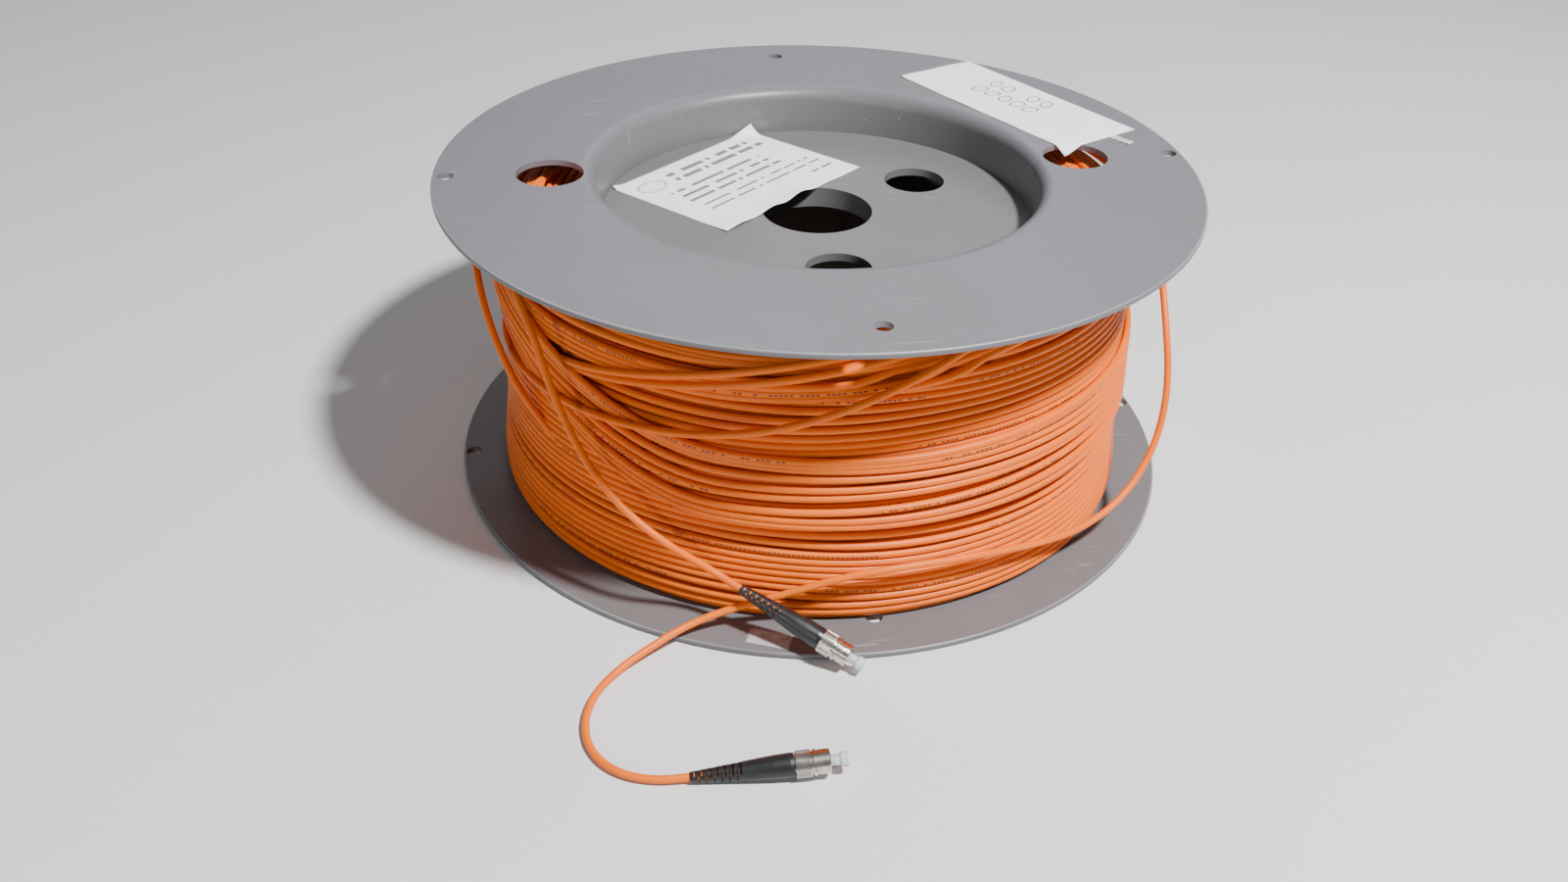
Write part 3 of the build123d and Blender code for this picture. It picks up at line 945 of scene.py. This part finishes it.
def smooth_curve(name, points, radius, sides, material):
    """A round curve of one open NURBS spline with these control points, given in millimetres."""
    curve = bpy.data.curves.new(name, "CURVE")
    curve.dimensions = "3D"
    curve.bevel_depth = radius
    curve.bevel_resolution = sides
    curve.resolution_u = 10
    curve.use_fill_caps = True
    spline = curve.splines.new("NURBS")
    spline.points.add(len(points) - 1)
    for point, place in zip(spline.points, points):
        point.co = (*(Vector(place) * MM), 1)
    spline.order_u = 3
    spline.use_endpoint_u = True
    curve.materials.append(material)
    piece = bpy.data.objects.new(name, curve)
    bpy.context.scene.collection.objects.link(piece)
    return piece


# ---- labels ------------------------------------------------------------------
def sheet_piece(name, corner, turn, size, steps, shape, thickness, material):
    """A thin sheet: its corner, direction and size in mm, bent by shape(across, up, x, y)."""
    width, height = size
    along = Vector((math.cos(turn), math.sin(turn)))
    up = Vector((-math.sin(turn), math.cos(turn)))
    points, ways = [], []
    for j in range(steps[1] + 1):
        for i in range(steps[0] + 1):
            across = width * i / steps[0]
            rise = height * j / steps[1]
            flat = Vector(corner) + across * along + rise * up
            points.append([value * MM for value in shape(across, rise, flat.x, flat.y)])
            ways.append((across / SHEET_UNIT, rise / SHEET_UNIT))
    faces, corners = [], []
    row = steps[0] + 1
    for j in range(steps[1]):
        for i in range(steps[0]):
            face = (j * row + i, j * row + i + 1, (j + 1) * row + i + 1, (j + 1) * row + i)
            faces.append(face)
            corners += [ways[index] for index in face]
    piece = mesh_object(name, points, faces, corners, material)
    solid = piece.modifiers.new("thickness", "SOLIDIFY")
    solid.thickness = thickness
    solid.offset = 1
    return piece


def label_shape(across, rise, x, y):
    """Flat on the dish floor, bent up the wall past its foot, with a wave along the edge at the bore."""
    floor = DISH_FLOOR / MM + 0.05
    reach = math.hypot(x, y)
    bend_radius = 3.5
    foot = DISH_FLOOR_RADIUS / MM - bend_radius - 0.6
    lift = 0.0
    scale = 1.0
    if reach > foot:
        angle = min((reach - foot) / bend_radius, math.radians(84))
        past = reach - foot - angle * bend_radius
        lift = bend_radius * (1 - math.cos(angle)) + past * math.sin(angle)
        scale = (foot + bend_radius * math.sin(angle) + past * math.cos(angle)) / reach
    edge = max(0.0, 1 - rise / 16)
    over_bore = math.exp(-(((across - 42) / 20) ** 2))
    wave = 1.5 * edge**2 * over_bore * (1 + 0.6 * math.sin(across * 0.28))
    curl = 0.9 * edge**2 * math.exp(-(((across - 8) / 9) ** 2))
    return x * scale, y * scale, floor + lift + wave + curl


def tag_shape(across, rise, x, y):
    """Flat on the flange, one corner bent down in the window and the far end a little lifted."""
    floor = REEL_HEIGHT / MM + 0.05
    over_window = max(0.0, WINDOW_RADIUS - math.hypot(x - WINDOW_CENTRE, y))
    far = max(0.0, (across - 100) / 13)
    ripple = 0.12 * math.sin(across * 0.21) * math.sin(rise * 0.3)
    return x, y, floor - 0.55 * over_window + 0.4 * far**2 * (rise / 44) + 0.12 + ripple


def scrap_shape(across, rise, x, y):
    return x, y, REEL_HEIGHT / MM + 0.05 + 0.5 * abs(math.sin(across * 0.9 + rise)) * (across / 12)


def sticker_shape(across, rise, x, y):
    return x, y, FLANGE_THICKNESS / MM + 0.03 + 0.05 * abs(math.sin(across * 0.5))


# ---- operators ---------------------------------------------------------------
CAMERA_PLACE = (-0.0936, -0.5434, 0.3591)
CAMERA_HEADING = -8.57        # degrees, as are the two below
CAMERA_DOWN = 33.58
CAMERA_ROLL = 1.5
SKY_COLOUR = (0.83, 0.86, 0.92, 1)
SKY_STRENGTH = 0.17
FLOOR_HALF = 4.0              # metres
FLOOR_DROP = 0.2 * MM         # keeps the floor clear of the reel's foot


class REEL_OT_stage(bpy.types.Operator):
    """Floor, soft lights and the camera."""

    bl_idname = "reel.stage"
    bl_label = "Stage"

    def execute(self, context):
        settings = context.scene.reel_stage
        graph = Finish("floor paint", Roughness=0.7)
        tone = graph.noise(graph.place(), 6.0, 3, 0.6)
        low = [channel * 0.96 for channel in settings.floor]
        graph.shade(Base_Color=graph.mix(tone, settings.floor, low))
        half = FLOOR_HALF
        corners = [(-half, -half, 0), (half, -half, 0), (half, half, 0), (-half, half, 0)]
        floor = mesh_object("studio_floor", corners, [(0, 1, 2, 3)], None, graph.material)
        floor.location.z = -FLOOR_DROP
        self.add_lights(context, settings)
        self.add_camera(context, settings)
        return {"FINISHED"}

    @staticmethod
    def add_lights(context, settings):
        target = Vector((0, 0, 0.5 * REEL_HEIGHT))
        lamps = (
            ("key_light", (0.57, -0.63, 1.43), 0.16, settings.key),
            ("side_light", (-0.86, -1.22, 0.6), 0.14, settings.side),
            ("back_light", (0.2, 1.3, 1.1), 1.0, settings.back),
        )
        for name, place, size, power in lamps:
            lamp = bpy.data.lights.new(name, "AREA")
            lamp.shape = "DISK"
            lamp.size = size
            lamp.energy = power
            holder = bpy.data.objects.new(name, lamp)
            holder.location = place
            holder.rotation_euler = (target - Vector(place)).to_track_quat("-Z", "Y").to_euler()
            context.scene.collection.objects.link(holder)
        world = bpy.data.worlds.new("studio")
        world.use_nodes = True
        sky = world.node_tree.nodes["Background"].inputs
        sky["Color"].default_value = SKY_COLOUR
        sky["Strength"].default_value = SKY_STRENGTH
        context.scene.world = world

    @staticmethod
    def add_camera(context, settings):
        camera = bpy.data.objects.new("camera", bpy.data.cameras.new("camera"))
        camera.data.sensor_width = 36
        camera.data.lens = settings.lens
        camera.data.clip_start = 0.01
        heading = Matrix.Rotation(math.radians(CAMERA_HEADING), 3, "Z")
        tilt = Matrix.Rotation(math.radians(90 - CAMERA_DOWN), 3, "X")
        roll = Matrix.Rotation(math.radians(CAMERA_ROLL), 3, "Z")
        place = Matrix.Translation(CAMERA_PLACE)
        camera.matrix_world = place @ (heading @ tilt @ roll).to_4x4()
        context.scene.collection.objects.link(camera)
        context.scene.camera = camera


class REEL_OT_leads(bpy.types.Operator):
    """The two free ends of the cable."""

    bl_idname = "reel.leads"
    bl_label = "Leads"

    def execute(self, context):
        settings = context.scene.reel_winding
        for letter in PLUGS:
            name = "lead_" + letter
            points = LEAD_POINTS[letter]
            material = jacket(settings, "jacket of " + name, LEAD_LENGTH[letter])
            piece = smooth_curve(name + "_cable", points, settings.diameter / 2, 4, material)
            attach(piece, REEL)
            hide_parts(name)
        return {"FINISHED"}


class REEL_OT_winding(bpy.types.Operator):
    """The wound cable: its inner layer, its outer layer and the turns that cross them."""

    bl_idname = "reel.winding"
    bl_label = "Winding"

    def execute(self, context):
        settings = context.scene.reel_winding
        material = jacket(settings, "jacket of the winding")
        section, strands = wind(settings)
        radius = settings.diameter / 2
        pieces = [
            # Painted shade: the core under the turns is a dark orange body where only shaded turns show.
            winding_core(section, painted_shade_winding()),
            tubes("winding_inner", [strands[0][::2]], radius, 8, material),
            tubes("winding_outer", [strands[1]], radius, 10, material),
        ]
        if len(strands) > 2:
            pieces.append(tubes("winding_over", strands[2:], radius, 12, material))
        slack = jacket(settings, "jacket of the loose turns", LOOSE_LENGTH)
        slack_turns = list(LOOSE_TURNS) + [shoulder_turn(index) for index in range(SHOULDER_TURNS)]
        for number, turn in enumerate(slack_turns, 1):
            loose = []
            for degrees, reach, height in turn:
                angle = math.radians(degrees)
                loose.append((reach * math.cos(angle), reach * math.sin(angle), height))
            pieces.append(smooth_curve(f"winding_loose_turn_{number}", loose, radius, 4, slack))
        for piece in pieces:
            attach(piece, REEL)
        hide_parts("cable_pack")
        return {"FINISHED"}


class REEL_OT_reel(bpy.types.Operator):
    """Finishes of the two flanges and the barrel."""

    bl_idname = "reel.reel"
    bl_label = "Reel"

    def execute(self, context):
        settings = context.scene.reel_body
        paint(["top_flange"], reel_plastic(settings, "flange plastic", 0.0))
        paint(["bottom_flange"], reel_plastic(settings, "foot plastic", 0.42))
        paint(["barrel"], barrel_board(settings))
        return {"FINISHED"}


class REEL_OT_labels(bpy.types.Operator):
    """The printed label, the paper tag, the tape scrap and the clear sticker."""

    bl_idname = "reel.labels"
    bl_label = "Labels"

    def execute(self, context):
        settings = context.scene.reel_labels
        thin = settings.thickness
        rules = paper(settings, "printed paper", "rules")
        pen = paper(settings, "tag paper", "pen")
        film = clear_film("clear tape", 0.6, (0.75, 0.76, 0.80))
        sticker = clear_film("clear sticker film", 0.45, (0.42, 0.40, 0.38))
        sheets = (
            ("printed_label", (-40.7, -19.1), 43.4, (93, 67), (76, 56), label_shape, thin, rules),
            ("paper_tag", (149.0, 27.8), 118.0, (112.5, 44), (70, 30), tag_shape, thin, pen),
            ("tape_scrap", (133.5, 21.5), -60.0, (13, 4), (14, 5), scrap_shape, thin / 2, film),
            ("clear_sticker", (-47.1, -148.2), -22.0, (17, 8.6), (18, 9), sticker_shape, thin / 2, sticker),
        )
        for node, corner, turn, size, steps, shape, thickness, material in sheets:
            piece = sheet_piece(
                node + "_sheet", corner, math.radians(turn), size, steps, shape, thickness, material
            )
            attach(piece, REEL)
            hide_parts(node)
        return {"FINISHED"}


class REEL_OT_plugs(bpy.types.Operator):
    """Finishes of the plugs' boots, metal parts, ferrules and dust caps."""

    bl_idname = "reel.plugs"
    bl_label = "Plugs"

    def execute(self, context):
        settings = context.scene.reel_plugs
        nickel = nickel_plate(settings)
        steel = nickel_plate(settings, "spring steel", 0.7)
        finishes = {
            "boot": boot_rubber(settings),
            "dust_cap": cap_plastic(settings),
            "ferrule": ceramic(),
            "ferrule_spring": steel,
            "retaining_ring": steel,
        }
        for node in PLUG_NODES:
            paint([node + "_" + letter for letter in PLUGS], finishes.get(node, nickel))
        return {"FINISHED"}


class REEL_PT_panel(bpy.types.Panel):
    """Buttons that build the pieces."""

    bl_label = "Cable Reel"
    bl_idname = "REEL_PT_panel"
    bl_space_type = "VIEW_3D"
    bl_region_type = "UI"
    bl_category = "Cable Reel"

    def draw(self, context):
        for operator in OPERATORS:
            self.layout.operator(operator.bl_idname)


GROUPS = {
    "reel_winding": WindingSettings,
    "reel_body": ReelSettings,
    "reel_labels": LabelSettings,
    "reel_plugs": PlugSettings,
    "reel_stage": StageSettings,
}
OPERATORS = (REEL_OT_stage, REEL_OT_leads, REEL_OT_winding, REEL_OT_reel, REEL_OT_labels, REEL_OT_plugs)
CLASSES = (*GROUPS.values(), *OPERATORS, REEL_PT_panel)


def register():
    for cls in CLASSES:
        bpy.utils.register_class(cls)
    for name, group in GROUPS.items():
        setattr(bpy.types.Scene, name, PointerProperty(type=group))


def unregister():
    for name in GROUPS:
        delattr(bpy.types.Scene, name)
    for cls in reversed(CLASSES):
        bpy.utils.unregister_class(cls)


def main():
    register()
    for build in (reel_places, moulded_grain, handling_marks, jacket_skin, printed_rows, pen_loops):
        build()
    bpy.ops.reel.stage()
    bpy.ops.reel.leads()
    bpy.ops.reel.winding()
    bpy.ops.reel.reel()
    bpy.ops.reel.labels()
    bpy.ops.reel.plugs()


if __name__ == "__main__":
    main()
